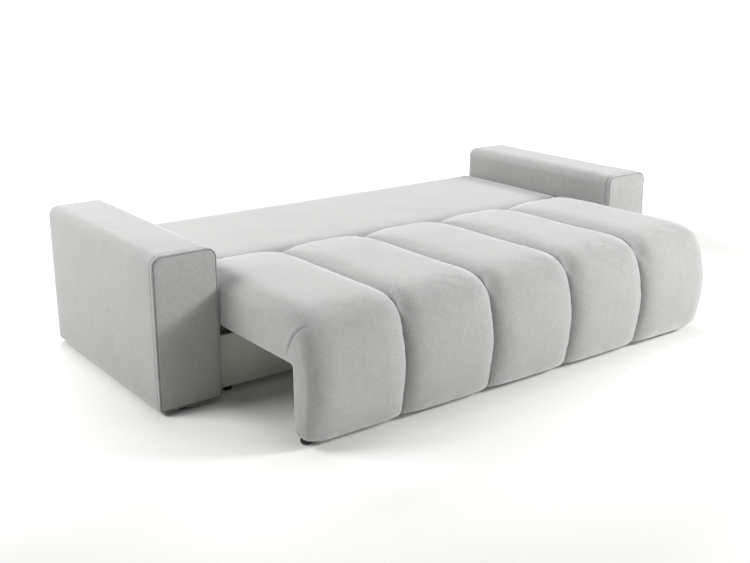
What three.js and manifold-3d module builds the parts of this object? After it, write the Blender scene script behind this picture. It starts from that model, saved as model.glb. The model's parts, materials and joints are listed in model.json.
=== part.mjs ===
// Sofa bed with two slab arms, shown made up as a bed: the seat stands pulled out in front and the
// backrest lies flat behind it. Millimetres, +Z up, +Y towards the rear, +X towards the right arm as
// seen from the front. The origin is on the floor, at the centre of the made-up bed's footprint.

import * as THREE from "three";
import { mergeVertices } from "three/addons/utils/BufferGeometryUtils.js";
import Module from "manifold-3d";

const wasm = await Module();
wasm.setup();

// Overall sizes
const overall_width = 2500;
const arm_width = 247;
const arm_depth = 970;
const arm_top_height = 578;
const arm_foot_height = 15;
const seat_bulge_reach = 580;
const seat_travel = 512;

// Running gaps between pieces
const seat_gap = 0.3;
const side_gap = 6;
const back_gap = 5;
const overrun = 2;
const sharp_radius = 0.3;

// Arms
const arm_top_radius = 40;
const arm_bottom_radius = 15;
const arm_cover_wall = 12;
const arm_board = 16;
const arm_base_board = 18;
const arm_frame_radius = 22;
const arm_foot_radius = 19.5;
const arm_foot_inset = 100;
const arm_foot_setback = 42;

// Seat pad, measured from its rear edge and the floor
const seat_depth = 794;
const seat_seam_height = 435;
const seat_underside = 283;
const seat_hem_height = 20;
const seat_drop_thickness = 51;
const hem_turn = 6;
const channel_count = 5;
const channel_crown = 43;
const channel_roll = 120;
const side_roll = 78;
const side_fall = 34;

// Seat frame
const seat_wrap = 14;
const front_board_thickness = 18;
const front_board_clearance = 4;
const seat_rail_width = 21;
const seat_rail_height = 47;
const slat_width = 70;
const slat_thickness = 12;
const seat_rear_foam = 20;
const glide_radius = 19.5;
const glide_inset = 47;
const glide_step_radius = 15;
const glide_step_height = 6;
const glide_setback = 3;

// Backrest, lying flat
const back_thickness = 165;
const back_rear_clearance = 6;
const back_top_height = 441;
const back_pivot_radius = 35;
const back_edge_radius = 32;
const back_crown = 3;
const back_side_skin = 6;
const back_end_foam = 20;
const back_top_foam = 55;
const back_rail_width = 24;
const back_rear_board = 8;

// Motion of the backrest while the seat travels
const back_drop = 169;
const back_quarter_turn = Math.PI / 2;

// Guide plates, drive forks, pins and brackets
const plate_thickness = 4;
const plate_rim = 3;
const plate_margin = 20;
const pin_radius = 4;
const pin_clearance = 0.4;
const pin_head_radius = 8;
const pin_head_thickness = 4;
const guide_pin_spacing = 80;
const fork_offset = 1.5;
const fork_thickness = 3;
const fork_half_width = 20;
const fork_end_margin = 15;
const fork_foot_length = 172;
const fork_foot_height = 42;
const fork_flange_width = 48;
const notch_start_share = 0.74;
const bracket_offset = 8;
const bracket_thickness = 4;
const bracket_length = 216;
const bracket_height = 124;
const bracket_corner = 18;
const stud_distance = 560;
const stud_drop = 56;
const stud_radius = 6;
const stud_tip = 1;
const lug_length = 40;
const lug_height = 44;
const lug_thickness = 1.5;
const lug_lip = 3;
const lug_lip_width = 4.2;

// Linen box under the backrest
const box_board = 16;
const box_front_setback = 62;
const box_bottom_height = 23;
const box_front_height = 227;
const box_wall_height = 178;
const box_rear_height = 190;
const box_rear_clearance = 9;
const box_floor_thickness = 10;
const box_side_clearance = 2;
const box_foot_size = 40;
const box_foot_inset = 41;
const box_foot_setback = 12;
const bolt_radius = 4;
const bolt_head_radius = 9;
const bolt_head_thickness = 5;
const bolt_height = 100;
const bolt_reach = 24;
const bolt_place_shares = [0.18, 0.82];

// Rollers and their rails
const roller_radius = 20;
const roller_width = 12;
const roller_offset = 4;
const roller_setback = 32;
const axle_radius = 4;
const rail_thickness = 2;
const rail_flange = 20;
const rail_end_gap = 30;
const roller_arm_thickness = 3;
const roller_arm_gap = 2;
const roller_arm_length = 38;
const roller_arm_tail = 13;

// Counts of steps on round shapes
const round_steps = 8;
const pin_steps = 24;
const roller_steps = 40;
const slot_steps = 20;
const straight_slot_steps = 2;

// Derived places
const bed_length = seat_bulge_reach + arm_depth;
const arm_front = -bed_length / 2 + seat_bulge_reach;
const arm_rear = arm_front + arm_depth;
const bay_half = overall_width / 2 - arm_width;
const seat_front_seam = arm_front - seat_travel;
const seat_rear = seat_front_seam + seat_depth;
const seat_half = bay_half - side_gap;
const seat_drop_back = seat_front_seam + seat_drop_thickness;
const pivot_y = seat_rear + back_gap + back_pivot_radius;
const pivot_z = back_top_height - back_pivot_radius;
const back_front = pivot_y - back_pivot_radius;
const back_rear = arm_rear - back_rear_clearance;
const back_under = back_top_height - back_thickness;
const back_half = bay_half - side_gap;

const sides = [
  { name: "left", sign: -1 },
  { name: "right", sign: 1 },
];
const ends = [
  { name: "front", sign: 1 },
  { name: "rear", sign: -1 },
];

const sofa = new THREE.Group();

// Finishes
function finish(colour, roughness, metalness) {
  return { color: colour, roughness, metalness };
}

const velvet = finish(0xc9c8c8, 0.95, 0);
const shaded_cloth = finish(0xa3a59f, 0.95, 0);
const timber = finish(0xc4a377, 0.7, 0);
const board = finish(0xb8b0a2, 0.8, 0);
const steel = finish(0x6d7075, 0.45, 0.8);
const bright_steel = finish(0xb4b8bd, 0.3, 0.9);
const black_plastic = finish(0x141415, 0.5, 0);
const white_plastic = finish(0xe2e2df, 0.5, 0);

// Helpers for solids
function toSolid(geometry) {
  const bare = geometry.clone();
  bare.deleteAttribute("normal");
  bare.deleteAttribute("uv");
  const merged = mergeVertices(bare);
  const vertProperties = new Float32Array(merged.attributes.position.array);
  const triVerts = new Uint32Array(merged.index.array);
  return new wasm.Manifold(new wasm.Mesh({ numProp: 3, vertProperties, triVerts }));
}

function toGeometry(solid) {
  const mesh = solid.getMesh();
  const geometry = new THREE.BufferGeometry();
  const position = new THREE.BufferAttribute(new Float32Array(mesh.vertProperties), 3);
  geometry.setAttribute("position", position);
  geometry.setIndex(new THREE.BufferAttribute(new Uint32Array(mesh.triVerts), 1));
  return geometry;
}

function cut(geometry, cutters) {
  let solid = toSolid(geometry);
  for (const cutter of cutters) {
    solid = solid.subtract(toSolid(cutter));
  }
  return toGeometry(solid);
}

function join(geometries) {
  let solid = toSolid(geometries[0]);
  for (const geometry of geometries.slice(1)) {
    solid = solid.add(toSolid(geometry));
  }
  return toGeometry(solid);
}

function block(x_span, y_span, z_span) {
  const spans = [x_span, y_span, z_span].map((span) => [Math.min(...span), Math.max(...span)]);
  const sizes = spans.map((span) => span[1] - span[0]);
  const middles = spans.map((span) => (span[0] + span[1]) / 2);
  return new THREE.BoxGeometry(...sizes).translate(...middles);
}

// A flat outline in Y and Z, given thickness across X
function platePiece(outline, x_span) {
  const low = Math.min(...x_span);
  const depth = Math.max(...x_span) - low;
  const options = { depth, bevelEnabled: false, curveSegments: round_steps };
  const geometry = new THREE.ExtrudeGeometry(outline, options);
  const turn = new THREE.Matrix4().makeBasis(
    new THREE.Vector3(0, 1, 0),
    new THREE.Vector3(0, 0, 1),
    new THREE.Vector3(1, 0, 0),
  );
  return geometry.applyMatrix4(turn).translate(low, 0, 0);
}

// An outline in X and Z, drawn out along Y
function beamPiece(outline, y_span) {
  const high = Math.max(...y_span);
  const depth = high - Math.min(...y_span);
  const options = { depth, bevelEnabled: false, curveSegments: round_steps };
  const geometry = new THREE.ExtrudeGeometry(outline, options);
  const turn = new THREE.Matrix4().makeBasis(
    new THREE.Vector3(1, 0, 0),
    new THREE.Vector3(0, 0, 1),
    new THREE.Vector3(0, -1, 0),
  );
  return geometry.applyMatrix4(turn).translate(0, high, 0);
}

function rodAcross(x_span, y, z, radius, steps) {
  const low = Math.min(...x_span);
  const high = Math.max(...x_span);
  const rod = new THREE.CylinderGeometry(radius, radius, high - low, steps);
  return rod.rotateZ(Math.PI / 2).translate((low + high) / 2, y, z);
}

function rodUpright(x, y, z_span, radius, steps) {
  const [low, high] = z_span;
  const rod = new THREE.CylinderGeometry(radius, radius, high - low, steps);
  return rod.rotateX(Math.PI / 2).translate(x, y, (low + high) / 2);
}

function roundedOutline(low, high, radii) {
  const [bottom_left, bottom_right, top_right, top_left] = radii;
  const outline = new THREE.Shape();
  outline.moveTo(low[0] + bottom_left, low[1]);
  outline.lineTo(high[0] - bottom_right, low[1]);
  outline.absarc(high[0] - bottom_right, low[1] + bottom_right, bottom_right, -Math.PI / 2, 0);
  outline.lineTo(high[0], high[1] - top_right);
  outline.absarc(high[0] - top_right, high[1] - top_right, top_right, 0, Math.PI / 2);
  outline.lineTo(low[0] + top_left, high[1]);
  outline.absarc(low[0] + top_left, high[1] - top_left, top_left, Math.PI / 2, Math.PI);
  outline.lineTo(low[0], low[1] + bottom_left);
  outline.absarc(low[0] + bottom_left, low[1] + bottom_left, bottom_left, Math.PI, Math.PI * 3 / 2);
  return outline;
}

function outlineFrom(points) {
  return new THREE.Shape(points.map((point) => new THREE.Vector2(...point)));
}

// Joins rings of points, one ring at each place across X, into one closed form
function loftAcross(rings) {
  const count = rings[0].points.length;
  const positions = [];
  const faces = [];
  for (const ring of rings) {
    for (const [y, z] of ring.points) {
      positions.push(ring.x, y, z);
    }
  }
  for (let r = 0; r < rings.length - 1; r += 1) {
    for (let k = 0; k < count; k += 1) {
      const next = (k + 1) % count;
      const here = r * count;
      const there = here + count;
      faces.push(here + k, here + next, there + next);
      faces.push(here + k, there + next, there + k);
    }
  }
  const last = (rings.length - 1) * count;
  const first_ring = rings[0].points.map((point) => new THREE.Vector2(...point));
  for (const [a, b, c] of THREE.ShapeUtils.triangulateShape(first_ring, [])) {
    faces.push(a, c, b);
  }
  const last_ring = rings[rings.length - 1].points.map((point) => new THREE.Vector2(...point));
  for (const [a, b, c] of THREE.ShapeUtils.triangulateShape(last_ring, [])) {
    faces.push(last + a, last + b, last + c);
  }
  const geometry = new THREE.BufferGeometry();
  geometry.setAttribute("position", new THREE.Float32BufferAttribute(positions, 3));
  geometry.setIndex(faces);
  return geometry;
}

function add(name, geometry, look) {
  const piece = new THREE.Mesh(geometry, new THREE.MeshStandardMaterial(look));
  piece.name = name;
  sofa.add(piece);
}

// X at a distance from an arm's inner face, counted towards the middle of the sofa
function fromArm(side, distance) {
  return side.sign * (bay_half - distance);
}

// Where the two guide pins of the backrest run while the seat travels
function pivotPath(travel) {
  return [pivot_y + travel, pivot_z - back_drop * travel / seat_travel];
}

function followerPath(travel) {
  const [y, z] = pivotPath(travel);
  const turn = back_quarter_turn * travel / seat_travel;
  return [y + guide_pin_spacing * Math.cos(turn), z + guide_pin_spacing * Math.sin(turn)];
}

function slotOutline(path, half_width, steps) {
  const places = [];
  for (let k = 0; k <= steps; k += 1) {
    places.push(new THREE.Vector2(...path(seat_travel * k / steps)));
  }
  const headings = places.map((place, k) => {
    const before = places[Math.max(k - 1, 0)];
    const after = places[Math.min(k + 1, steps)];
    return after.clone().sub(before).normalize();
  });
  const outline = [];
  const roundEnd = (centre, heading) => {
    const start = heading.angle() - Math.PI / 2;
    for (let k = 0; k <= round_steps; k += 1) {
      const angle = start + Math.PI * k / round_steps;
      outline.push([centre.x + half_width * Math.cos(angle), centre.y + half_width * Math.sin(angle)]);
    }
  };
  for (let k = 1; k < steps; k += 1) {
    const across = new THREE.Vector2(headings[k].y, -headings[k].x);
    outline.push([places[k].x + half_width * across.x, places[k].y + half_width * across.y]);
  }
  roundEnd(places[steps], headings[steps]);
  for (let k = steps - 1; k > 0; k -= 1) {
    const across = new THREE.Vector2(-headings[k].y, headings[k].x);
    outline.push([places[k].x + half_width * across.x, places[k].y + half_width * across.y]);
  }
  roundEnd(places[0], headings[0].clone().negate());
  return outlineFrom(outline);
}

// The guide plate's opening in the arm, shared by the plate and the cover
const plate_front = pivot_y - plate_margin;
const plate_rear = pivotPath(seat_travel)[0] + plate_margin;
const plate_low = pivotPath(seat_travel)[1] - plate_margin;
const plate_high = pivot_z + plate_margin;

// Linen box places
const box_front = arm_front + box_front_setback;
const box_inner_front = box_front + box_board;
const box_rear = arm_rear - box_rear_clearance;
const box_inner_rear = box_rear - box_board;
const box_side_inner = seat_gap + box_board;

function boltPlaces() {
  return bolt_place_shares.map((share) => box_inner_front + (box_inner_rear - box_inner_front) * share);
}

// Arms
function armCover(side) {
  const outer = fromArm(side, -arm_width);
  const inner = fromArm(side, 0);
  const low = [Math.min(outer, inner), arm_foot_height];
  const high = [Math.max(outer, inner), arm_top_height];
  const top = arm_top_radius;
  const foot = arm_bottom_radius;
  const skin = beamPiece(roundedOutline(low, high, [foot, foot, top, top]), [arm_front, arm_rear]);
  const wall = arm_cover_wall;
  const room_low = [low[0] + wall, arm_foot_height - overrun];
  const room_high = [high[0] - wall, arm_top_height - wall];
  const room_top = arm_top_radius - wall;
  const room = beamPiece(
    roundedOutline(room_low, room_high, [sharp_radius, sharp_radius, room_top, room_top]),
    [arm_front + wall, arm_rear - wall],
  );
  const window = block(
    [fromArm(side, overrun), fromArm(side, -wall - overrun)],
    [plate_front - seat_gap, plate_rear + seat_gap],
    [plate_low - seat_gap, plate_high + seat_gap],
  );
  const holes = boltPlaces().map((y) => rodAcross(
    [fromArm(side, overrun), fromArm(side, -wall - overrun)],
    y,
    bolt_height,
    bolt_radius + pin_clearance,
    pin_steps,
  ));
  return cut(skin, [room, window, ...holes]);
}

function armFrame(side) {
  const skin = arm_cover_wall + seat_gap;
  const outer = fromArm(side, -arm_width + skin);
  const inner = fromArm(side, -skin);
  const bottom = arm_foot_height + arm_base_board + seat_gap;
  const low = [Math.min(outer, inner), bottom];
  const high = [Math.max(outer, inner), arm_top_height - skin];
  const round = arm_top_radius - arm_cover_wall;
  const shell = beamPiece(
    roundedOutline(low, high, [sharp_radius, sharp_radius, round, round]),
    [arm_front + skin, arm_rear - skin],
  );
  const room = block(
    [low[0] + arm_board, high[0] - arm_board],
    [arm_front + skin + arm_board, arm_rear - skin - arm_board],
    [bottom - overrun, high[1] - arm_frame_radius],
  );
  const holes = boltPlaces().map((y) => rodAcross(
    [fromArm(side, -skin + overrun), fromArm(side, -skin - arm_board - overrun)],
    y,
    bolt_height,
    bolt_radius + pin_clearance,
    pin_steps,
  ));
  return cut(shell, [room, ...holes]);
}

function armBase(side) {
  const skin = arm_cover_wall + seat_gap;
  return block(
    [fromArm(side, -skin), fromArm(side, -arm_width + skin)],
    [arm_front + skin, arm_rear - skin],
    [arm_foot_height, arm_foot_height + arm_base_board],
  );
}

function addArms() {
  for (const side of sides) {
    add(`${side.name}_arm_cover`, armCover(side), velvet);
    add(`${side.name}_arm_frame`, armFrame(side), board);
    add(`${side.name}_arm_base`, armBase(side), board);
    for (const end of ends) {
      const edge = end.sign > 0 ? arm_front : arm_rear;
      const x = side.sign * (overall_width / 2 - arm_foot_inset);
      const y = edge + end.sign * arm_foot_setback;
      const foot = rodUpright(x, y, [0, arm_foot_height - seat_gap], arm_foot_radius, pin_steps);
      add(`${side.name}_arm_${end.name}_foot`, foot, black_plastic);
    }
  }
}

// Guide plates and rest lugs on the arms' inner faces
function guidePlate(side) {
  const back = fromArm(side, -arm_cover_wall);
  const face = fromArm(side, -seat_gap);
  const tray = block([back, face], [plate_front, plate_rear], [plate_low, plate_high]);
  const hollow = block(
    [fromArm(side, -arm_cover_wall - overrun), fromArm(side, -seat_gap - plate_thickness)],
    [plate_front + plate_rim, plate_rear - plate_rim],
    [plate_low + plate_rim, plate_high - plate_rim],
  );
  const through = [fromArm(side, -arm_cover_wall - overrun), fromArm(side, overrun)];
  const half_width = pin_radius + pin_clearance;
  const pivot_slot = platePiece(slotOutline(pivotPath, half_width, straight_slot_steps), through);
  const follower_slot = platePiece(slotOutline(followerPath, half_width, slot_steps), through);
  return cut(tray, [hollow, pivot_slot, follower_slot]);
}

function restLug(side) {
  const stud_y = pivot_y + stud_distance;
  const top = pivot_z - stud_drop - stud_radius - seat_gap;
  const wall = fromArm(side, seat_gap);
  const leaf = fromArm(side, seat_gap + lug_thickness);
  const lip = fromArm(side, seat_gap + lug_lip_width);
  const outline = outlineFrom([
    [wall, top - lug_height],
    [leaf, top - lug_height],
    [leaf, top - lug_lip],
    [lip, top - lug_lip],
    [lip, top],
    [wall, top],
  ]);
  return beamPiece(outline, [stud_y - lug_length / 2, stud_y + lug_length / 2]);
}

function addGuides() {
  for (const side of sides) {
    add(`${side.name}_guide_plate`, guidePlate(side), steel);
    add(`${side.name}_rest_lug`, restLug(side), bright_steel);
  }
}

// Linen box
function boxSide(side) {
  const wall = block(
    [fromArm(side, seat_gap), fromArm(side, box_side_inner)],
    [box_inner_front + seat_gap, box_inner_rear - seat_gap],
    [box_bottom_height, box_wall_height - seat_gap],
  );
  const holes = boltPlaces().map((y) => rodAcross(
    [fromArm(side, 0), fromArm(side, box_side_inner + overrun)],
    y,
    bolt_height,
    bolt_radius + pin_clearance,
    pin_steps,
  ));
  return cut(wall, holes);
}

function boxBolt(side, y) {
  const seat = box_side_inner + seat_gap;
  const shank_span = [fromArm(side, seat + seat_gap), fromArm(side, -bolt_reach)];
  const head_span = [fromArm(side, seat), fromArm(side, seat + bolt_head_thickness)];
  const shank = rodAcross(shank_span, y, bolt_height, bolt_radius, pin_steps);
  const head = rodAcross(head_span, y, bolt_height, bolt_head_radius, pin_steps);
  return join([shank, head]);
}

function boxFoot(side) {
  const outer = bay_half - box_foot_inset;
  const front = box_front + box_foot_setback;
  return block(
    [side.sign * outer, side.sign * (outer - box_foot_size)],
    [front, front + box_foot_size],
    [0, box_bottom_height - seat_gap],
  );
}

function addLinenBox() {
  const half = bay_half - box_side_clearance;
  const front = block([-half, half], [box_front, box_inner_front], [box_bottom_height, box_front_height]);
  add("box_front_panel", front, shaded_cloth);
  const rear = block([-half, half], [box_inner_rear, box_rear], [box_bottom_height, box_rear_height]);
  add("box_rear_panel", rear, shaded_cloth);
  const floor_half = bay_half - box_side_inner - seat_gap;
  const floor_top = box_bottom_height + box_floor_thickness;
  const length = [box_inner_front + seat_gap, box_inner_rear - seat_gap];
  add("box_floor", block([-floor_half, floor_half], length, [box_bottom_height, floor_top]), board);
  const divider = block([-box_board / 2, box_board / 2], length, [floor_top + seat_gap, box_wall_height]);
  add("box_divider", divider, timber);
  for (const side of sides) {
    add(`box_${side.name}_side`, boxSide(side), timber);
    add(`box_${side.name}_foot`, boxFoot(side), black_plastic);
    boltPlaces().forEach((y, k) => {
      add(`${side.name}_${ends[k].name}_box_bolt`, boxBolt(side, y), bright_steel);
    });
  }
}

// Rails for the rollers, on the box's side walls
const roller_y = seat_rear - roller_setback;
const rail_top = box_wall_height + rail_thickness;
const roller_z = rail_top + seat_gap + roller_radius;

function rail(side) {
  const outer = fromArm(side, seat_gap);
  const drop = fromArm(side, box_side_inner + seat_gap);
  const inner = fromArm(side, box_side_inner + seat_gap + rail_thickness);
  const outline = outlineFrom([
    [outer, box_wall_height],
    [drop, box_wall_height],
    [drop, rail_top - rail_flange],
    [inner, rail_top - rail_flange],
    [inner, rail_top],
    [outer, rail_top],
  ]);
  return beamPiece(outline, [box_inner_front + rail_end_gap, box_inner_rear - rail_end_gap]);
}

function roller(side) {
  const span = [fromArm(side, roller_offset), fromArm(side, roller_offset + roller_width)];
  const wheel = rodAcross(span, roller_y, roller_z, roller_radius, roller_steps);
  const past = side.sign * overrun;
  const bore_span = [span[0] + past, span[1] - past];
  const bore_radius = axle_radius + pin_clearance;
  const bore = rodAcross(bore_span, roller_y, roller_z, bore_radius, pin_steps);
  return cut(wheel, [bore]);
}

// The arm that hangs from the seat frame and carries the roller's axle
function rollerArm(side) {
  const face = roller_offset + roller_width + roller_arm_gap;
  const inner = face + roller_arm_thickness;
  const half = roller_arm_length / 2;
  const top = seat_underside - seat_gap;
  const tail = roller_z - roller_arm_tail;
  const length = [roller_y - half, roller_y + half];
  const leaf = block([fromArm(side, face), fromArm(side, inner)], length, [tail, top]);
  const flange = block(
    [fromArm(side, face), fromArm(side, face + fork_flange_width)],
    length,
    [top - roller_arm_thickness, top],
  );
  const axle_span = [fromArm(side, roller_offset), fromArm(side, inner)];
  const axle = rodAcross(axle_span, roller_y, roller_z, axle_radius, pin_steps);
  return join([leaf, flange, axle]);
}

function addRollers() {
  for (const side of sides) {
    add(`${side.name}_rail`, rail(side), bright_steel);
    add(`${side.name}_roller`, roller(side), white_plastic);
    add(`${side.name}_roller_arm`, rollerArm(side), steel);
  }
}

// Seat pad: one sewn seam's outline from the rear top to the front hem, as shares of the seat's depth
// and of the seam's height, then how much of the crown stands over it there and how much of the
// rounding at the seat's two sides draws it in
const seam_outline_shares = [
  [0, 0.66, 0, 0],
  [0, 0.9, 0, 0.1],
  [0.012, 0.965, 0.2, 0.5],
  [0.044, 1, 0.42, 0.8],
  [0.13, 1.002, 0.55, 1],
  [0.3, 1.008, 0.58, 1],
  [0.55, 1.008, 0.58, 1],
  [0.78, 1.004, 0.62, 1],
  [0.88, 0.99, 0.75, 1],
  [0.935, 0.96, 0.9, 1],
  [0.972, 0.912, 1, 1],
  [0.993, 0.85, 1, 1],
  [1.008, 0.76, 1, 1],
  [1.024, 0.64, 1, 1],
  [1.0315, 0.52, 1, 1],
  [1.027, 0.38, 0.95, 1],
  [1.014, 0.23, 0.8, 0.95],
  [1.002, 0.12, 0.6, 0.9],
  [0.99, 0.046, 0.4, 0.8],
];
const channel_step_shares = [0, 0.035, 0.1, 0.22, 0.5, 0.78, 0.9, 0.965];
const crown_level_share = 0.82;

function swell(distance, half_width) {
  const roll = Math.min(distance / channel_roll, 1);
  const curve = Math.sqrt(1 - (1 - roll) ** 2);
  const level = 1 - ((half_width - distance) / half_width) ** 2;
  return crown_level_share * curve + (1 - crown_level_share) * level;
}

function sideFall(distance) {
  const roll = Math.min(distance / side_roll, 1);
  return 1 - Math.sqrt(1 - (1 - roll) ** 2);
}

function seamPoints() {
  return seam_outline_shares.map(([depth, height]) => new THREE.Vector2(
    seat_rear - seat_depth * depth,
    seat_seam_height * height,
  ));
}

// Outwards from the outline, and straight forwards at the hem
function outwardAt(points, k) {
  if (k === points.length - 1) {
    return new THREE.Vector2(-1, 0);
  }
  const before = points[Math.max(k - 1, 0)];
  const after = points[k + 1];
  const along = after.clone().sub(before).normalize();
  return new THREE.Vector2(along.y, -along.x);
}

function seatRing(x) {
  const pitch = 2 * seat_half / channel_count;
  const place = (x + seat_half) / pitch;
  const within = Math.min(Math.abs(place - Math.round(place)) * pitch, pitch / 2);
  const crown = channel_crown * swell(within, pitch / 2);
  const fall = sideFall(seat_half - Math.abs(x));
  const points = seamPoints();
  const ring = points.map((point, k) => {
    const [, , crown_share, fall_share] = seam_outline_shares[k];
    const rise = crown_share * crown - fall_share * side_fall * fall;
    const moved = point.clone().addScaledVector(outwardAt(points, k), rise);
    return [moved.x, moved.y];
  });
  const hem_front = ring[ring.length - 1][0] + hem_turn;
  ring.push([hem_front, seat_hem_height]);
  ring.push([seat_drop_back, seat_hem_height]);
  ring.push([seat_drop_back, seat_underside]);
  ring.push([seat_rear, seat_underside]);
  return ring;
}

function seatStations() {
  const pitch = 2 * seat_half / channel_count;
  const stations = [];
  for (let channel = 0; channel < channel_count; channel += 1) {
    for (const share of channel_step_shares) {
      stations.push(-seat_half + (channel + share) * pitch);
    }
  }
  stations.push(seat_half);
  return stations;
}

// Seat frame places, inside the pad
const frame_half = seat_half - seat_wrap;
const board_back = seat_drop_back;
const board_front = board_back - front_board_thickness;
const frame_front = board_back + seat_gap;
const frame_rear = seat_rear - seat_rear_foam;
const rail_low = seat_underside + seat_gap;
const rail_high = rail_low + seat_rail_height;
const deck_top = rail_high + seat_gap + slat_thickness;

function seatPad() {
  const rings = seatStations().map((x) => ({ x, points: seatRing(x) }));
  const pad = loftAcross(rings);
  const reach = frame_half + seat_gap;
  const board_room = block(
    [-reach, reach],
    [board_front - seat_gap, board_back + overrun],
    [seat_hem_height - overrun, deck_top + seat_gap],
  );
  const frame_room = block(
    [-reach, reach],
    [board_front - seat_gap, frame_rear + seat_gap],
    [seat_underside - overrun, deck_top + seat_gap],
  );
  return cut(pad, [board_room, frame_room]);
}

function glide(side) {
  const x = side.sign * (bay_half - side_gap - glide_inset);
  const y = seat_drop_back - glide_setback;
  const top = seat_hem_height - seat_gap;
  const disc = rodUpright(x, y, [0, top - glide_step_height], glide_radius, pin_steps);
  const neck = rodUpright(x, y, [top - glide_step_height - seat_gap, top], glide_step_radius, pin_steps);
  return join([disc, neck]);
}

function addSeat() {
  add("seat_pad", seatPad(), velvet);
  const width = [-frame_half, frame_half];
  const lift = seat_hem_height + front_board_clearance;
  add("seat_front_board", block(width, [board_front, board_back], [lift, deck_top]), board);
  const rail_z = [rail_low, rail_high];
  const front_rail_y = [frame_front, frame_front + seat_rail_width];
  const rear_rail_y = [frame_rear - seat_rail_width, frame_rear];
  add("seat_front_rail", block(width, front_rail_y, rail_z), timber);
  add("seat_rear_rail", block(width, rear_rail_y, rail_z), timber);
  const side_span = [front_rail_y[1] + seat_gap, rear_rail_y[0] - seat_gap];
  for (const side of sides) {
    const outer = side.sign * frame_half;
    const inner = side.sign * (frame_half - seat_rail_width);
    add(`seat_${side.name}_rail`, block([outer, inner], side_span, rail_z), timber);
    add(`seat_${side.name}_glide`, glide(side), black_plastic);
  }
  const pitch = 2 * seat_half / channel_count;
  const slat_y = [frame_front, frame_rear];
  const slat_z = [rail_high + seat_gap, deck_top];
  for (let k = 0; k < channel_count; k += 1) {
    const x = -seat_half + (k + 1 / 2) * pitch;
    const slat = block([x - slat_width / 2, x + slat_width / 2], slat_y, slat_z);
    add(`seat_slat_${k + 1}`, slat, timber);
  }
}

// Drive forks: they hang behind the seat and carry the backrest's pivot pins along
function driveFork(side) {
  const high = pivot_z + fork_end_margin;
  const low = pivotPath(seat_travel)[1] - fork_end_margin;
  const foot_top = seat_underside - seat_gap;
  const foot_front = pivot_y - fork_foot_length;
  const outline = outlineFrom([
    [foot_front, foot_top - fork_foot_height],
    [pivot_y - fork_half_width, foot_top - fork_foot_height],
    [pivot_y - fork_half_width, low],
    [pivot_y + fork_half_width, low],
    [pivot_y + fork_half_width, high],
    [pivot_y - fork_half_width, high],
    [pivot_y - fork_half_width, foot_top],
    [foot_front, foot_top],
  ]);
  const near = fromArm(side, fork_offset);
  const far = fromArm(side, fork_offset + fork_thickness);
  const leaf = platePiece(outline, [near, far]);
  const flange = block(
    [near, fromArm(side, fork_offset + fork_flange_width)],
    [foot_front, roller_y - roller_arm_length / 2 - overrun],
    [foot_top - fork_thickness, foot_top],
  );
  const half_width = pin_radius + pin_clearance;
  const slot = roundedOutline(
    [pivot_y - half_width, pivotPath(seat_travel)[1] - half_width],
    [pivot_y + half_width, pivot_z + half_width],
    [half_width, half_width, half_width, half_width],
  );
  const through = [fromArm(side, 0), fromArm(side, fork_offset + fork_thickness + overrun)];
  const notch = slotOutline(notchPath, half_width + pin_clearance, round_steps);
  return cut(join([leaf, flange]), [platePiece(slot, through), platePiece(notch, through)]);
}

// The follower pin's way into the fork over the last stretch of the travel, seen from the seat
function notchPath(travel) {
  const start = seat_travel * notch_start_share;
  const seat_place = start + travel * (1 - notch_start_share);
  const [y, z] = followerPath(seat_place);
  return [y - seat_place, z];
}

// Backrest: places of the crown's points along its top, and of the rings that round its two sides
const back_crown_place_shares = [0.2, 0.35, 0.5, 0.65, 0.8];
const back_roll_shares = [0, 0.06, 0.2, 0.45, 1];

function backOutline(shrink) {
  const under = back_under + shrink;
  const top = back_top_height - shrink;
  const front = back_front + shrink;
  const rear = back_rear - shrink;
  const corners = [
    { y: front, z: under, radius: back_edge_radius, turn: Math.PI, ways: [1, 1] },
    { y: rear, z: under, radius: back_edge_radius, turn: -Math.PI / 2, ways: [-1, 1] },
    { y: rear, z: top, radius: back_edge_radius, turn: 0, ways: [-1, -1] },
    { y: front, z: top, radius: back_pivot_radius, turn: Math.PI / 2, ways: [1, -1] },
  ];
  const ring = [];
  for (const corner of corners) {
    const radius = Math.max(corner.radius - shrink, sharp_radius);
    const centre_y = corner.y + corner.ways[0] * radius;
    const centre_z = corner.z + corner.ways[1] * radius;
    for (let k = 0; k <= round_steps; k += 1) {
      const angle = corner.turn + Math.PI / 2 * k / round_steps;
      ring.push([centre_y + radius * Math.cos(angle), centre_z + radius * Math.sin(angle)]);
    }
    if (corner.turn === 0) {
      const span = rear - front;
      for (const share of back_crown_place_shares) {
        const lift = (back_crown - Math.min(shrink, back_crown)) * Math.sin(Math.PI * share);
        ring.push([rear - span * share, top + lift]);
      }
    }
  }
  return ring;
}

// Backrest frame places
const back_frame_half = back_half - back_side_skin - seat_gap;
const back_frame_front = back_front + back_end_foam;
const back_frame_rear = back_rear - back_end_foam;
const back_frame_low = back_under + back_rear_board + seat_gap;
const back_frame_high = back_top_height - back_top_foam;

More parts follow.
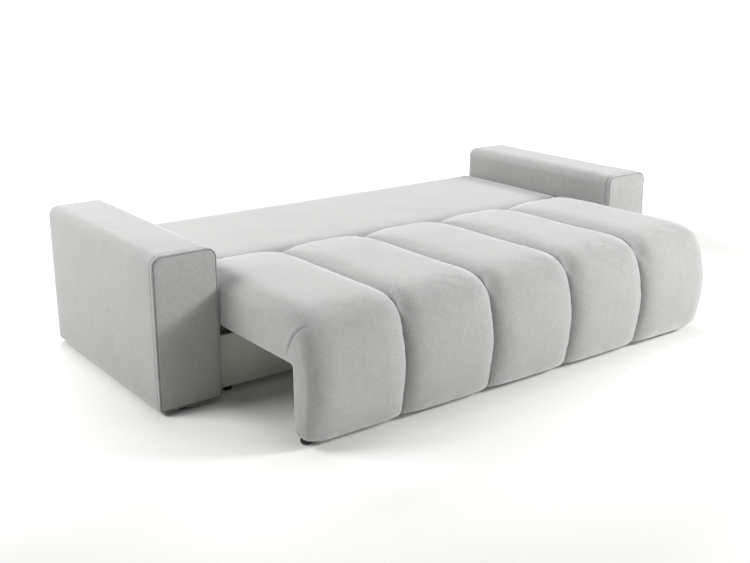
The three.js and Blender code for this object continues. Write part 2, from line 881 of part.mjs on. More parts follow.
function backPad() {
  const rings = [];
  for (const share of back_roll_shares) {
    const shrink = back_edge_radius * (1 - Math.sqrt(1 - (1 - share) ** 2));
    rings.push({ x: -back_half + back_edge_radius * share, points: backOutline(shrink) });
  }
  for (const share of back_roll_shares.slice().reverse()) {
    const shrink = back_edge_radius * (1 - Math.sqrt(1 - (1 - share) ** 2));
    rings.push({ x: back_half - back_edge_radius * share, points: backOutline(shrink) });
  }
  const pad = loftAcross(rings);
  const reach = back_frame_half + seat_gap;
  const front = back_frame_front - seat_gap;
  const rear = back_frame_rear + seat_gap;
  const rail_room = back_rail_width + 2 * seat_gap;
  const high = back_frame_high + seat_gap;
  const low = back_under - overrun;
  const rooms = [
    block([-reach, reach], [front, rear], [low, back_frame_low]),
    block([-reach, reach], [front, front + rail_room], [low, high]),
    block([-reach, reach], [rear - rail_room, rear], [low, high]),
    block([-reach, -reach + rail_room], [front, rear], [low, high]),
    block([reach - rail_room, reach], [front, rear], [low, high]),
  ];
  const windows = sides.flatMap((side) => [
    block(
      [fromArm(side, 0), fromArm(side, bracket_offset + bracket_thickness + seat_gap)],
      [pivot_y - bracket_corner - seat_gap, pivot_y - bracket_corner + bracket_length + seat_gap],
      [pivot_z + bracket_corner - bracket_height - seat_gap, pivot_z + bracket_corner + seat_gap],
    ),
    rodAcross(
      [fromArm(side, 0), fromArm(side, bracket_offset + bracket_thickness + seat_gap)],
      pivot_y + stud_distance,
      pivot_z - stud_drop,
      stud_radius + seat_gap,
      pin_steps,
    ),
  ]);
  return cut(pad, [...rooms, ...windows]);
}

// The bracket on the backrest frame's side, with the follower pin riveted into it
function backBracket(side) {
  const low = [pivot_y - bracket_corner, pivot_z + bracket_corner - bracket_height];
  const high = [low[0] + bracket_length, pivot_z + bracket_corner];
  const corner = bracket_corner;
  const near = fromArm(side, bracket_offset);
  const far = fromArm(side, bracket_offset + bracket_thickness);
  const leaf = platePiece(roundedOutline(low, high, [corner, corner, corner, corner]), [near, far]);
  const bore = rodAcross(
    [fromArm(side, bracket_offset - overrun), fromArm(side, bracket_offset + bracket_thickness + overrun)],
    pivot_y,
    pivot_z,
    pin_radius + pin_clearance,
    pin_steps,
  );
  const pin = pinPiece(side, pivot_y + guide_pin_spacing, pivot_z);
  return join([cut(leaf, [bore]), pin]);
}

// A pin through the guide plate, with its head in the hollow behind the plate
function pinPiece(side, y, z) {
  const head_outer = seat_gap + plate_thickness + seat_gap;
  const head_span = [fromArm(side, -head_outer), fromArm(side, -head_outer - pin_head_thickness)];
  const shank_reach = bracket_offset + bracket_thickness;
  const shank_span = [fromArm(side, -head_outer - seat_gap), fromArm(side, shank_reach)];
  const head = rodAcross(head_span, y, z, pin_head_radius, pin_steps);
  const shank = rodAcross(shank_span, y, z, pin_radius, pin_steps);
  return join([head, shank]);
}

function restStud(side) {
  return rodAcross(
    [fromArm(side, stud_tip), fromArm(side, bracket_offset + bracket_thickness)],
    pivot_y + stud_distance,
    pivot_z - stud_drop,
    stud_radius,
    pin_steps,
  );
}

function addBackrest() {
  add("back_pad", backPad(), velvet);
  const half = back_frame_half;
  const length = [back_frame_front, back_frame_rear];
  add("back_rear_board", block([-half, half], length, [back_under, back_under + back_rear_board]), board);
  const frame_z = [back_frame_low, back_frame_high];
  const width = back_rail_width;
  add("back_lower_rail", block([-half, half], [length[0], length[0] + width], frame_z), timber);
  add("back_upper_rail", block([-half, half], [length[1] - width, length[1]], frame_z), timber);
  const side_span = [length[0] + width + seat_gap, length[1] - width - seat_gap];
  for (const side of sides) {
    const rail_piece = block([side.sign * half, side.sign * (half - width)], side_span, frame_z);
    add(`back_${side.name}_rail`, rail_piece, timber);
    add(`${side.name}_back_bracket`, backBracket(side), steel);
    add(`${side.name}_pivot_pin`, pinPiece(side, pivot_y, pivot_z), bright_steel);
    add(`${side.name}_rest_stud`, restStud(side), bright_steel);
    add(`${side.name}_drive_fork`, driveFork(side), steel);
  }
}

addArms();
addGuides();
addLinenBox();
addRollers();
addSeat();
addBackrest();

export default sofa;
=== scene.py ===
import json
import math

import bmesh
import bpy
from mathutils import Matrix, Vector, noise


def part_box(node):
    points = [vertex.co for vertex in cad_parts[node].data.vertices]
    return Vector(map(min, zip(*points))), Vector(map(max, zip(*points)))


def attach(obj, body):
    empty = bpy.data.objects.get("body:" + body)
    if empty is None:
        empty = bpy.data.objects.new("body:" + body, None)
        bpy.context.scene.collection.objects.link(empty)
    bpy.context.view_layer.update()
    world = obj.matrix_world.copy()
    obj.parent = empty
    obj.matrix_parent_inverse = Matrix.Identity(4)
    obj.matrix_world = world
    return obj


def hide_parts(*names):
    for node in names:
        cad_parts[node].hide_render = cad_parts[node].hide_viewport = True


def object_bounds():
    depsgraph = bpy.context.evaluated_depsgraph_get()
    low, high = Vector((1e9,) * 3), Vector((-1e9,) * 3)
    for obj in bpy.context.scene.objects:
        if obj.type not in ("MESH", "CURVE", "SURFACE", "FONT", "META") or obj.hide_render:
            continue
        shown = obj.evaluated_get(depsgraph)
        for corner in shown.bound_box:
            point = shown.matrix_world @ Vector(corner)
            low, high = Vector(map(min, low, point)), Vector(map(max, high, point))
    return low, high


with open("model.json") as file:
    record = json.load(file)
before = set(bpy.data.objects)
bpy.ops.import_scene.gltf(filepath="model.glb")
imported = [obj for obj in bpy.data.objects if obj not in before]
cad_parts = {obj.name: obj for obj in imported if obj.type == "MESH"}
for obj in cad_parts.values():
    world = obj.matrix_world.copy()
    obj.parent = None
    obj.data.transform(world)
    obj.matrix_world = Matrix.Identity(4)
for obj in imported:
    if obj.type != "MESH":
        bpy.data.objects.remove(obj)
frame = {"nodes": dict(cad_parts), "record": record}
cad_low, cad_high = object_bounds()

# Sizes in metres
tiny = 1e-6

# The gap between a part and the room cut for it, and how far a cut reaches past a surface
room_gap = 0.0003
cut_past = 0.002

# Each side's direction across the sofa
sides = {"left": -1, "right": 1}

# Seat pad: the sewn seam's outline from the rear top to the front hem
seat_low, seat_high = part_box("seat_pad")
seat_rear = seat_high.y
seat_half = seat_high.x
seat_hem = seat_low.z
seat_depth = 0.794
seam_height = 0.435
seat_underside = 0.283
drop_thickness = 0.051
seam_front = seat_rear - seat_depth
drop_back = seam_front + drop_thickness
channel_count = 5
channel_pitch = 2 * seat_half / channel_count
channel_crown = 0.043
crown_level_share = 0.93
top_side_roll = 0.088
front_side_roll = 0.018
top_side_fall = 0.034
front_side_fall = 0.012
front_crown_reach = 0.09
front_edge_share = 0.25
under_roll = 0.009
inner_corner_radius = 0.014
hem_corner_radius = 0.026
hem_lift = 0.024
hem_lift_reach = 0.11
hem_lift_height = 4 * hem_lift
side_panel_crown = 0.003

# One seam's points as shares of the seat's depth and of the seam's height, then how much of the crown
# stands over it there, how much of the rounding at the two sides draws it in, how far from the seam
# the crown takes to rise, and how many steps the line takes to the next point
seam_outline_shares = [
    (0, 0.655, 0, 0, 0.199, 8),
    (0, 0.88, 0.02, 0.1, 0.199, 6),
    (0.01, 0.938, 0.3, 0.5, 0.199, 6),
    (0.034, 0.974, 0.52, 0.8, 0.185, 8),
    (0.1, 0.995, 0.6, 1, 0.16, 12),
    (0.28, 1.008, 0.61, 1, 0.12, 16),
    (0.55, 1.008, 0.61, 1, 0.105, 18),
    (0.78, 1.004, 0.66, 1, 0.096, 18),
    (0.88, 0.99, 0.77, 1, 0.094, 14),
    (0.935, 0.96, 0.9, 1, 0.096, 11),
    (0.972, 0.912, 1, 1, 0.096, 10),
    (0.993, 0.85, 1, 1, 0.096, 11),
    (1.008, 0.76, 1, 1, 0.096, 10),
    (1.024, 0.64, 1, 1, 0.096, 8),
    (1.0315, 0.52, 1, 1, 0.096, 8),
    (1.028, 0.38, 0.95, 1, 0.096, 8),
    (1.018, 0.23, 0.82, 1, 0.096, 7),
    (1.01, 0.12, 0.6, 1, 0.096, 5),
    (1.005, 0.088, 0.46, 1, 0.096, 4),
    (0.998, 0.066, 0.28, 1, 0.096, 4),
    (0.988, 0.054, 0.06, 1, 0.096, 0),
]
front_corner_point = 10
hem_level = seam_height * seam_outline_shares[-1][1]

# Puckers along the seams, and the dimples where the seams turn down over the front edge
pucker_height = 0.0009
corner_pucker_height = 0.0022
pucker_length = 0.024
pucker_width = 0.05
pucker_place = 0.012
pucker_start = 0.008
pucker_reach = 0.034
corner_reach = 0.085
dimple_depth = 0.017
far_dimple_depth = 0.003
dimple_reach = 0.036
dimple_place = 0.022
dimple_width = 0.02
seam_groove_depth = 0.007
seam_groove_width = 0.0028

# How far apart the noise of two seams is taken, and that of a seam's two sides
seam_noise_apart = 7.3
side_noise_apart = 2.1

# The folded crease on each side of the seat, from above the inner corner to the front edge (y, z)
crease_line = [
    (-0.63, 0.318),
    (-0.642, 0.345),
    (-0.662, 0.382),
    (-0.69, 0.415),
    (-0.722, 0.44),
    (-0.75, 0.449),
]
crease_depth = 0.0045
crease_width = 0.0038
crease_puff = 0.003
crease_puff_reach = 0.024
crease_reach_in = 0.055
crease_fade_start = 0.03


# Mesh helpers
def new_piece(name, bm, sharp_angle=40):
    """Turns a bmesh into a smooth-shaded object whose hard corners stay sharp."""
    limit = math.radians(sharp_angle)
    for face in bm.faces:
        face.smooth = True
    for edge in bm.edges:
        edge.smooth = len(edge.link_faces) != 2 or edge.calc_face_angle(0) < limit
    mesh = bpy.data.meshes.new(name)
    bm.to_mesh(mesh)
    bm.free()
    piece = bpy.data.objects.new(name, mesh)
    bpy.context.scene.collection.objects.link(piece)
    return piece


def wrapped(columns, rows, place, held=None):
    """A closed form from one grid: its columns run round the form, and its rows run along it.

    held(column, row) tells which points the fabric is sewn or glued at, for the cloth simulation.
    """
    bm = bmesh.new()
    bmesh.ops.create_grid(bm, x_segments=columns, y_segments=rows, size=0.5)
    hold = bm.verts.layers.deform.verify() if held else None
    for vert in bm.verts:
        column = round((vert.co.x + 0.5) * columns) % columns
        row = round((vert.co.y + 0.5) * rows)
        vert.co = place(column, row)
        if held and held(column, row):
            vert[hold][0] = 1
    bmesh.ops.remove_doubles(bm, verts=bm.verts, dist=tiny)
    bmesh.ops.recalc_face_normals(bm, faces=bm.faces)
    return bm


def box_mesh(low, high):
    """A plain box between two corners, used as stock for pieces and cutters."""
    bm = bmesh.new()
    bmesh.ops.create_cube(bm, size=1)
    low, high = Vector(low), Vector(high)
    bmesh.ops.scale(bm, vec=high - low, verts=bm.verts)
    bmesh.ops.translate(bm, vec=(low + high) / 2, verts=bm.verts)
    return bm


def round_edges(bm, edges, radius, steps):
    """Rounds some of a form's edges."""
    bmesh.ops.bevel(
        bm, geom=edges, offset=radius, segments=steps, profile=0.5, affect="EDGES", material=-1,
    )


def lengthwise_edges(bm, is_wanted):
    """A box's edges that run from front to rear at a wanted height."""
    return [
        edge for edge in bm.edges
        if all(is_wanted(vert.co.z) for vert in edge.verts)
        and abs(edge.verts[0].co.x - edge.verts[1].co.x) < tiny
    ]


def carve(piece, cutter_mesh):
    """Cuts a room out of a piece."""
    cutter = new_piece("cutter", cutter_mesh)
    cut = piece.modifiers.new("cut", "BOOLEAN")
    cut.object = cutter
    cut.operation = "DIFFERENCE"
    cut.solver = "EXACT"
    evaluated = piece.evaluated_get(bpy.context.evaluated_depsgraph_get())
    mesh = bpy.data.meshes.new_from_object(evaluated)
    piece.modifiers.clear()
    old = piece.data
    piece.data = mesh
    bpy.data.meshes.remove(old)
    bpy.data.objects.remove(cutter)


def carve_sideways(piece, part_low, part_high, from_x, to_x):
    """Cuts a room round a part's box, from one place across the sofa to another."""
    carve(piece, box_mesh(
        (min(from_x, to_x), part_low.y - room_gap, part_low.z - room_gap),
        (max(from_x, to_x), part_high.y + room_gap, part_high.z + room_gap),
    ))


def ripple(point, size, height):
    """Soft unevenness of stuffed fabric: smooth noise of a given size and height."""
    return height * noise.noise(Vector(point) / size)


# Cloth simulation of the fabric between its seams and staples
cloth_frames = 16
cloth_pressure = 3
cloth_spare = 0.005
cloth_tension = 60
cloth_shear = 20
cloth_bending = 0.5
cloth_damping = 5


def loose_sheet(piece):
    """A copy of the fabric that is free to move, and each of its points' numbers in the piece."""
    bm = bmesh.new()
    bm.from_mesh(piece.data)
    hold = bm.verts.layers.deform.active
    number = bm.verts.layers.int.new("number")
    for vert in bm.verts:
        vert[number] = vert.index
    fixed = [face for face in bm.faces if all(0 in vert[hold] for vert in face.verts)]
    bmesh.ops.delete(bm, geom=fixed, context="FACES")
    numbers = [vert[number] for vert in bm.verts]
    sheet = new_piece("loose_sheet", bm)
    sheet.vertex_groups.new(name="held")
    return sheet, numbers


def puff(piece, give):
    """Blows the fabric out between its held points as cloth; no point moves as far as give."""
    sheet, numbers = loose_sheet(piece)
    cloth = sheet.modifiers.new("cloth", "CLOTH")
    cloth.settings.vertex_group_mass = "held"
    cloth.settings.use_pressure = True
    cloth.settings.uniform_pressure_force = cloth_pressure
    cloth.settings.effector_weights.gravity = 0
    cloth.settings.shrink_min = -cloth_spare
    cloth.settings.tension_stiffness = cloth_tension
    cloth.settings.compression_stiffness = cloth_tension
    cloth.settings.shear_stiffness = cloth_shear
    cloth.settings.bending_stiffness = cloth_bending
    cloth.settings.air_damping = cloth_damping
    cloth.collision_settings.use_collision = False
    for moment in range(1, cloth_frames + 1):
        bpy.context.scene.frame_set(moment)
    blown = sheet.evaluated_get(bpy.context.evaluated_depsgraph_get())
    for number, vert in zip(numbers, blown.data.vertices):
        point = piece.data.vertices[number]
        step = vert.co - point.co
        point.co += step * (give / (give + step.length))
    bpy.data.objects.remove(sheet)
    bpy.context.scene.frame_set(1)


# Curves
def fading(distance, reach):
    """A bell curve: 1 at no distance, and almost 0 past twice the reach."""
    return math.exp(-((distance / reach) ** 2))


def through(points, steps):
    """A smooth line through points of any dimension, with a number of steps to each next point."""
    line = []
    for k, count in enumerate(steps):
        before = points[max(k - 1, 0)]
        here, there = points[k], points[k + 1]
        after = points[min(k + 2, len(points) - 1)]
        for step in range(count):
            t = step / count
            line.append(tuple(
                b + 0.5 * t * ((c - a) + t * ((2 * a - 5 * b + 4 * c - d) + t * (3 * b - a - 3 * c + d)))
                for a, b, c, d in zip(before, here, there, after)
            ))
    line.append(tuple(points[-1]))
    return line


def beside(points, y, z):
    """Nearest distance from a line of points, which side of it (above is 1), and the share along it."""
    nearest = (math.inf, 1, 0)
    for k, (start, end) in enumerate(zip(points, points[1:])):
        along = Vector(end) - Vector(start)
        from_start = Vector((y, z)) - Vector(start)
        t = min(max(from_start.dot(along) / along.length_squared, 0), 1)
        distance = (from_start - along * t).length
        if distance < nearest[0]:
            turn = along.x * from_start.y - along.y * from_start.x
            nearest = (distance, 1 if turn < 0 else -1, (k + t) / (len(points) - 1))
    return nearest


# Seat pad
channel_steps = 26
panel_rows = 30
rear_columns_held = 4
hem_columns_held = 6
inner_top_share = 0.66
inner_corner_steps = 6
seat_give = 0.005


def seam_line():
    """Points along a seam: y, z, crown share, fall share, roll, outward direction and length so far."""
    points = [
        (seat_rear - seat_depth * depth, seam_height * height, crown, fall, roll)
        for depth, height, crown, fall, roll, steps in seam_outline_shares
    ]
    line = through(points, [steps for *values, steps in seam_outline_shares[:-1]])
    full = []
    length = 0
    for k, point in enumerate(line):
        before = line[max(k - 1, 0)]
        after = line[min(k + 1, len(line) - 1)]
        along = Vector((after[0] - before[0], after[1] - before[1])).normalized()
        length += math.dist(point[:2], before[:2])
        full.append((*point, along.y, -along.x, length))
    return full


def swell(distance, reach):
    """How far up its crown a channel stands, at a distance from its seam."""
    roll = min(distance / reach, 1)
    curve = math.sqrt(1 - (1 - roll) ** 2)
    half = channel_pitch / 2
    level = 1 - ((half - distance) / half) ** 2
    return crown_level_share * curve + (1 - crown_level_share) * level


def edge_fall(distance, reach):
    """A quarter ellipse's fall, from 0 inside the reach to 1 at the edge."""
    roll = min(distance / reach, 1)
    return 1 - math.sqrt(1 - (1 - roll) ** 2)


def slow_rise(distance, reach):
    """A parabola's rise, from 0 at the edge to 1 at the reach."""
    share = min(distance / reach, 1)
    return share * (2 - share)


def seat_stations():
    """Places across the seat, closest together at the seams."""
    places = []
    for channel in range(channel_count):
        for step in range(channel_steps):
            share = (1 - math.cos(math.pi * step / channel_steps)) / 2
            places.append(-seat_half + (channel + share) * channel_pitch)
    places.append(seat_half)
    return places


def seat_inner_line(outer_count):
    """The underside's points, matched one to one with the seam's points."""
    radius = inner_corner_radius
    hem_radius = hem_corner_radius
    top_steps = round(outer_count * inner_top_share)
    arc_steps = inner_corner_steps
    drop_steps = outer_count - top_steps - 2 * arc_steps
    top_start = drop_back + radius
    line = []
    for k in range(top_steps):
        line.append((seat_rear + (top_start - seat_rear) * k / top_steps, seat_underside))
    for k in range(arc_steps):
        angle = math.pi / 2 * k / arc_steps
        y = top_start - radius * math.sin(angle)
        line.append((y, seat_underside - radius * (1 - math.cos(angle))))
    top = seat_underside - radius
    bottom = hem_level + hem_radius
    for k in range(drop_steps):
        line.append((drop_back, top + (bottom - top) * k / drop_steps))
    for k in range(arc_steps + 1):
        angle = math.pi / 2 * k / arc_steps
        y = drop_back - hem_radius * (1 - math.cos(angle))
        line.append((y, bottom - hem_radius * math.sin(angle)))
    return line


def seam_pull(x, within, length, corner_length):
    """How far the thread draws the fabric in beside a seam: puckers, and a dimple at the front edge."""
    from_corner = length - corner_length
    corner = fading(from_corner, corner_reach)
    height = pucker_height + (corner_pucker_height - pucker_height) * corner
    seam = round((x + seat_half) / channel_pitch)
    side = 1 if x + seat_half > seam * channel_pitch else -1
    outward = side * side_noise_apart + within / pucker_width
    wave = noise.noise(Vector((length / pucker_length, seam * seam_noise_apart, outward)))
    near = fading(within - pucker_place, pucker_reach) * min(within / pucker_start, 1)
    depth = dimple_depth if side > 0 else far_dimple_depth
    dimple = depth * fading(from_corner, dimple_reach) * fading(within - dimple_place, dimple_width)
    groove = seam_groove_depth * fading(within, seam_groove_width)
    return near * height * wave - dimple - groove


def side_crease(point):
    """The folded crease on the side: a narrow groove with the fabric puffed up in front of it."""
    inside = seat_half - abs(point.x)
    if inside > crease_reach_in or point.y > crease_line[0][0] + crease_reach_in:
        return 0
    distance, side, share = beside(crease_line, point.y, point.z)
    if not 0 < share < 1:
        return 0
    ends = math.sqrt(math.sin(math.pi * (crease_fade_start + share * (1 - 2 * crease_fade_start))))
    fade = ends * (1 - inside / crease_reach_in)
    groove = crease_depth * fading(distance, crease_width)
    swelling = crease_puff * fading(distance, crease_puff_reach) if side > 0 else 0
    return fade * (swelling - groove)


def hem_rise(x, z):
    """How far the hem is drawn up towards the seat's two sides."""
    low = min(max(1 - (z - hem_level) / hem_lift_height, 0), 1)
    return hem_lift * low * edge_fall(seat_half - abs(x), hem_lift_reach)


def seam_rise(x, seam_point, corner_length):
    """How far the fabric stands out from the seam's line, at a place across the seat."""
    crown_share, fall_share, roll, out_y, out_z, length = seam_point[2:]
    nearest = min(max(round((x + seat_half) / channel_pitch), 1), channel_count - 1)
    within = min(abs(x + seat_half - nearest * channel_pitch), channel_pitch / 2)
    top_share = max(out_z, 0) ** 2
    reach = front_side_roll + (top_side_roll - front_side_roll) * top_share
    side_fall = front_side_fall + (top_side_fall - front_side_fall) * top_share
    inside = seat_half - abs(x)
    at_front = front_edge_share + (1 - front_edge_share) * slow_rise(inside, front_crown_reach)
    at_top = 1 - edge_fall(inside, top_side_roll)
    crown = crown_share * channel_crown * swell(within, roll)
    rise = crown * (at_front + (at_top - at_front) * top_share)
    rise -= fall_share * side_fall * edge_fall(inside, reach)
    return rise + crown_share * seam_pull(x, within, length, corner_length)


def seat_pad_mesh():
    """The seat's fabric: rings round the pad, one at each place across it, closed by the side panels."""
    line = seam_line()
    seam_steps = len(line) - 1
    inner = seat_inner_line(seam_steps)
    stations = seat_stations()
    rows = len(stations) - 1 + 2 * panel_rows
    columns = 2 * (seam_steps + 1)
    corner_at = sum(steps for *values, steps in seam_outline_shares[:front_corner_point])
    corner_length = line[corner_at][-1]

    def ring_point(column, x):
        if column <= seam_steps:
            y, z, *shares, out_y, out_z, length = line[column]
            rise = seam_rise(x, line[column], corner_length)
            return Vector((x, y + out_y * rise, z + out_z * rise + hem_rise(x, z)))
        k = columns - 1 - column
        point = inner_point(k, x)
        fall = under_roll * edge_fall(seat_half - abs(x), under_roll)
        toward = middle_point(k, x) - point
        if toward.length > tiny:
            toward = toward.normalized() * fall
        return point + toward

    def inner_point(k, x):
        y, z = inner[k]
        return Vector((x, y, z + hem_rise(x, z)))

    def middle_point(k, x):
        return (ring_point(k, x) + inner_point(k, x)) / 2

    def panel_point(column, x, share):
        k = column if column <= seam_steps else columns - 1 - column
        point = ring_point(column, x).lerp(middle_point(k, x), share)
        bulge = side_panel_crown * math.sin(math.pi / 2 * share)
        point.x += math.copysign(bulge, x)
        return point

    def place(column, row):
        if row < panel_rows:
            point = panel_point(column, -seat_half, 1 - row / panel_rows)
        elif row > rows - panel_rows:
            point = panel_point(column, seat_half, 1 - (rows - row) / panel_rows)
        else:
            point = ring_point(column, stations[row - panel_rows])
        push = side_crease(point)
        if push:
            inside = (seat_half - abs(point.x)) / crease_reach_in
            out = Vector((math.copysign(1 - inside, point.x), -inside, inside)).normalized()
            point += out * push
        return point

    def held(column, row):
        """The seams, the side panels, the rear edge, the hem and the underside."""
        on_seam = (row - panel_rows) % channel_steps == 0
        on_side = row <= panel_rows + 1 or row >= rows - panel_rows - 1
        at_hem = column > seam_steps - hem_columns_held
        return on_seam or on_side or at_hem or column < rear_columns_held

    return wrapped(columns, rows, place, held)


def make_seat_pad():
    piece = new_piece("seat_cover", seat_pad_mesh())
    puff(piece, seat_give)
    board_low, board_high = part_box("seat_front_board")
    slat_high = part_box("seat_slat_1")[1]
    reach = board_high.x + room_gap
    front = board_low.y - room_gap
    top = slat_high.z + room_gap
    for bottom, rear in (
        (seat_hem - cut_past, board_high.y + cut_past),
        (seat_underside - cut_past, slat_high.y + room_gap),
    ):
        carve(piece, box_mesh((-reach, front, bottom), (reach, rear, top)))
    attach(piece, "seat")
    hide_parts("seat_pad")
    return piece


# Rings for rounded boxes
def rounded_ring(low, high, radii, steps, shrink):
    """A rounded rectangle's points: bottom, right side, top, left side, each with its corner."""
    arcs = []
    corners = [
        (high[0], low[1], -1, 1, radii[1], -math.pi / 2),
        (high[0], high[1], -1, -1, radii[2], 0),
        (low[0], high[1], 1, -1, radii[3], math.pi / 2),
        (low[0], low[1], 1, 1, radii[0], math.pi),
    ]
    for x, y, to_x, to_y, radius, start in corners:
        left = max(radius - shrink, 0)
        centre = (x + to_x * (shrink + left), y + to_y * (shrink + left))
        arc = []
        for k in range(steps["corner"] + 1):
            angle = start + math.pi / 2 * k / steps["corner"]
            across, up = math.cos(angle), math.sin(angle)
            arc.append((centre[0] + left * across, centre[1] + left * up, across, up))
        arcs.append(arc)
    ring = []
    for k, arc in enumerate(arcs):
        ring += arc
        follow = arcs[(k + 1) % len(arcs)][0]
        count = steps["side"] if k % 2 == 0 else steps["top"]
        last = arc[-1]
        for step in range(1, count):
            t = step / count
            x = last[0] + (follow[0] - last[0]) * t
            y = last[1] + (follow[1] - last[1]) * t
            ring.append((x, y, last[2], last[3]))
    return ring


# Arms. The held values say where the cloth stays put: how far in from the front and up from the
# floor side, and how far a face turns outwards or upwards before it is free.
arm_top_radius = 0.040
arm_bottom_radius = 0.015
arm_rear_radius = 0.030
arm_wall = 0.012
arm_ring_steps = {"corner": 8, "side": 40, "top": 16}
arm_panel_steps = 12
arm_rear_steps = 8
arm_room_corner_steps = 6
arm_first_step = 0.006
arm_length_step = 0.012
arm_held_front = 0.03
arm_held_under = 0.02
arm_held_turn = 0.3
arm_give = 0.0025
outer_crown = 0.003
top_crown = 0.0025
panel_crown = 0.004
arm_ripple_size = 0.11
arm_ripple_height = 0.0007
arm_ripple_turn = 0.5

# The welted front edge in section: depth behind the front plane, and distance in from the side
welt_section = [
    (0.0000, 0.0150),
    (0.0004, 0.0112),
    (0.0016, 0.0088),
    (0.0034, 0.0076),
    (0.0066, 0.0069),
    (0.0066, 0.0061),
    (0.0038, 0.0050),
    (0.0026, 0.0040),
    (0.0026, 0.0028),
    (0.0036, 0.0014),
    (0.0060, 0.0005),
    (0.0100, 0.0001),
    (0.0146, 0.0002),
    (0.0172, 0.0010),
    (0.0184, 0.0040),
    (0.0192, 0.0040),
    (0.0204, 0.0010),
    (0.0224, 0.0002),
    (0.0262, 0.0000),
]


def arm_sections(low, high):
    """Depth, shrink and scale of every ring, from the middle of the front panel to that of the rear."""
    edge = welt_section[0][1]
    sections = []
    for k in range(arm_panel_steps):
        share = k / arm_panel_steps
        crown = panel_crown * (1 - share ** 4)
        sections.append((low.y - crown, edge, share))
    sections += [(low.y + depth, shrink, 1) for depth, shrink in welt_section]
    start = sections[-1][0] + arm_first_step
    end = high.y - arm_rear_radius
    count = round((end - start) / arm_length_step)
    sections += [(start + (end - start) * k / count, 0, 1) for k in range(count)]
    for k in range(arm_rear_steps + 1):
        angle = math.pi / 2 * k / arm_rear_steps
        y = end + arm_rear_radius * math.sin(angle)
        sections.append((y, arm_rear_radius * (1 - math.cos(angle)), 1))
    for k in range(1, arm_panel_steps + 1):
        sections.append((high.y, arm_rear_radius, 1 - k / arm_panel_steps))
    return sections


def arm_mesh(name, sign):
    """An arm's fabric: rings round the arm from its front to its rear, swollen a little outwards."""
    low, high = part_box(name)
    sections = arm_sections(low, high)
    radii = [arm_bottom_radius, arm_bottom_radius, arm_top_radius, arm_top_radius]
    rings = [
        rounded_ring((low.x, low.z), (high.x, high.z), radii, arm_ring_steps, shrink)
        for depth, shrink, scale in sections
    ]
    columns = len(rings[0])
    middle = (low + high) / 2

    def place(column, row):
        x, z, across, up = rings[row][column]
        y, shrink, scale = sections[row]
        x = middle.x + (x - middle.x) * scale
        z = middle.z + (z - middle.z) * scale
        length_share = (y - low.y) / (high.y - low.y)
        height_share = (z - low.z) / (high.z - low.z)
        width_share = (x - low.x) / (high.x - low.x)
        along = math.sin(math.pi * min(max(length_share, 0), 1))
        outward = max(across * sign, 0)
        bulge = outward * outer_crown * along * math.sin(math.pi * min(max(height_share, 0), 1))
        bulge += max(up, 0) * top_crown * along * math.sin(math.pi * width_share)
        if across * sign >= 0 or up >= arm_ripple_turn:
            bulge += ripple((x, y, z), arm_ripple_size, arm_ripple_height)
        bulge *= scale
        return Vector((x + across * bulge, y, z + up * bulge))

    def held(column, row):
        """The welted front, the rear, the underside and the wall beside the seat."""
        x, z, across, up = rings[row][column]
        y = sections[row][0]
        free_length = low.y + arm_held_front < y < high.y - arm_rear_radius
        free_side = max(across * sign, up) > arm_held_turn
        return not (free_length and free_side and z > low.z + arm_held_under)

    return wrapped(columns, len(sections) - 1, place, held)


def make_arm(side):
    sign = sides[side]
    name = f"{side}_arm_cover"
    low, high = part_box(name)
    piece = new_piece(f"{side}_arm_fabric", arm_mesh(name, sign))
    puff(piece, arm_give)
    room = box_mesh(
        (low.x + arm_wall, low.y + arm_wall, low.z - cut_past),
        (high.x - arm_wall, high.y - arm_wall, high.z - arm_wall),
    )
    tops = lengthwise_edges(room, lambda z: z > high.z - 2 * arm_wall)
    round_edges(room, tops, arm_top_radius - arm_wall, arm_room_corner_steps)
    carve(piece, room)
    plate_low, plate_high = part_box(f"{side}_guide_plate")
    inner_face = low.x if sign > 0 else high.x
    wall_start = inner_face - sign * cut_past
    wall_end = inner_face + sign * (arm_wall + cut_past)
    carve_sideways(piece, plate_low, plate_high, wall_start, wall_end)
    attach(piece, "carcass")
    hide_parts(name)
    return piece


# Backrest
back_corner_radius = 0.032
back_pivot_radius = 0.035
back_crown = 0.003
front_sag = 0.011
front_sag_reach = 0.085
back_crown_power = 0.3
back_ripple_size = 0.16
back_ripple_height = 0.0009
back_ring_steps = {"corner": 8, "side": 14, "top": 60}
back_panel_steps = 6
back_roll_steps = 8
back_end_radius = 0.032
back_length_step = 0.018
back_held_front = 0.03
back_held_turn = 0.8
back_give = 0.002


def back_sections(low, high):
    """Place across the sofa and shrink of every ring, from the middle of one end to that of the other."""
    half = (high.z - back_crown - low.z) / 2
    rows = []
    for k in range(back_panel_steps):
        rows.append((low.x, half - (half - back_end_radius) * k / back_panel_steps))
    for k in range(back_roll_steps, -1, -1):
        angle = math.pi / 2 * k / back_roll_steps
        x = low.x + back_end_radius * (1 - math.sin(angle))
        rows.append((x, back_end_radius * (1 - math.cos(angle))))
    start = low.x + back_end_radius
    count = round(-2 * start / back_length_step)
    middle = [(start - 2 * start * k / count, 0) for k in range(1, count)]
    return rows + middle + [(-x, shrink) for x, shrink in rows[::-1]]


